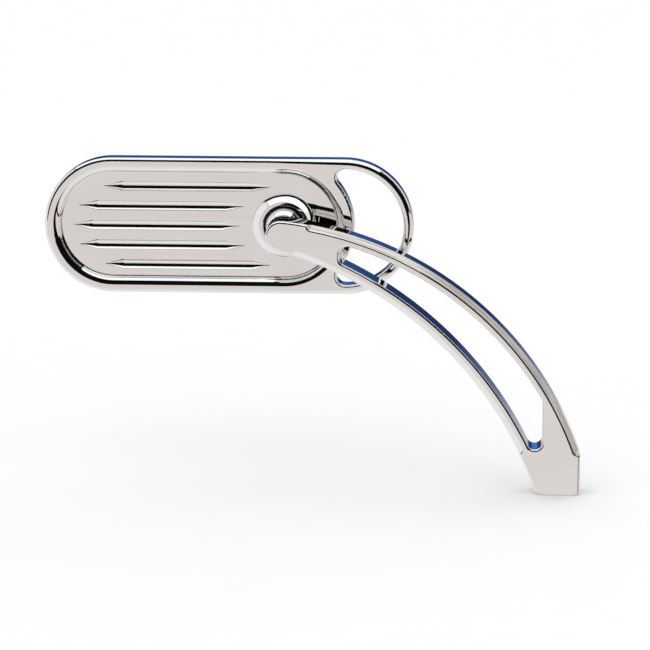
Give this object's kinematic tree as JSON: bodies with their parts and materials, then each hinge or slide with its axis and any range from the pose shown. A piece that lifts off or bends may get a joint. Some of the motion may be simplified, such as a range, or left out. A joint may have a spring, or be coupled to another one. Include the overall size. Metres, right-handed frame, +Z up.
{
  "type": "motorcycle mirror",
  "caption": "Chromed billet motorcycle mirror: oblong head with a grooved back and an end loop, on a ball joint carried by an arched, slotted stem with a threaded base.",
  "frame": {"origin": "centre of the mounting thread's mouth, on the stem's bottom face", "axes": "+Z up along the thread into the stem, +X towards the base from the head, glass faces +Y and the grooved back faces -Y"},
  "size_m": [0.2168, 0.0377, 0.1317],
  "materials": {
    "chrome": "polished chrome plate on billet aluminium",
    "stud_chrome": "polished chrome plate on steel",
    "liner": "black nylon",
    "clamp_steel": "zinc plated",
    "screw_steel": "black oxide",
    "pad": "adhesive foam",
    "mirror": "silvered glass"
  },
  "bodies": {
    "stem": {"stem": "chrome", "ball_stud": "stud_chrome"},
    "turn_ring": {"front_liner": "liner"},
    "swing_ring": {"rear_liner": "liner"},
    "head": {"mirror_head": "chrome", "clamp_plate": "clamp_steel", "spring_washers": "clamp_steel", "clamp_screws": "screw_steel", "glass_pad": "pad", "mirror_glass": "mirror"}
  },
  "joints": [
    {"name": "head_turn", "type": "hinge", "parent": "stem", "child": "turn_ring", "pos_m": [-0.1112, 0.01936, 0.10415], "axis": [0, 1, 0], "range_deg": [-25, 25]},
    {"name": "head_swing", "type": "hinge", "parent": "turn_ring", "child": "swing_ring", "pos_m": [-0.1112, 0.01936, 0.10415], "axis": [0, 0, 1], "range_deg": [-6, 18]},
    {"name": "head_tilt", "type": "hinge", "parent": "swing_ring", "child": "head", "pos_m": [-0.1112, 0.01936, 0.10415], "axis": [1, 0, 0], "range_deg": [-6, 10]}
  ]
}
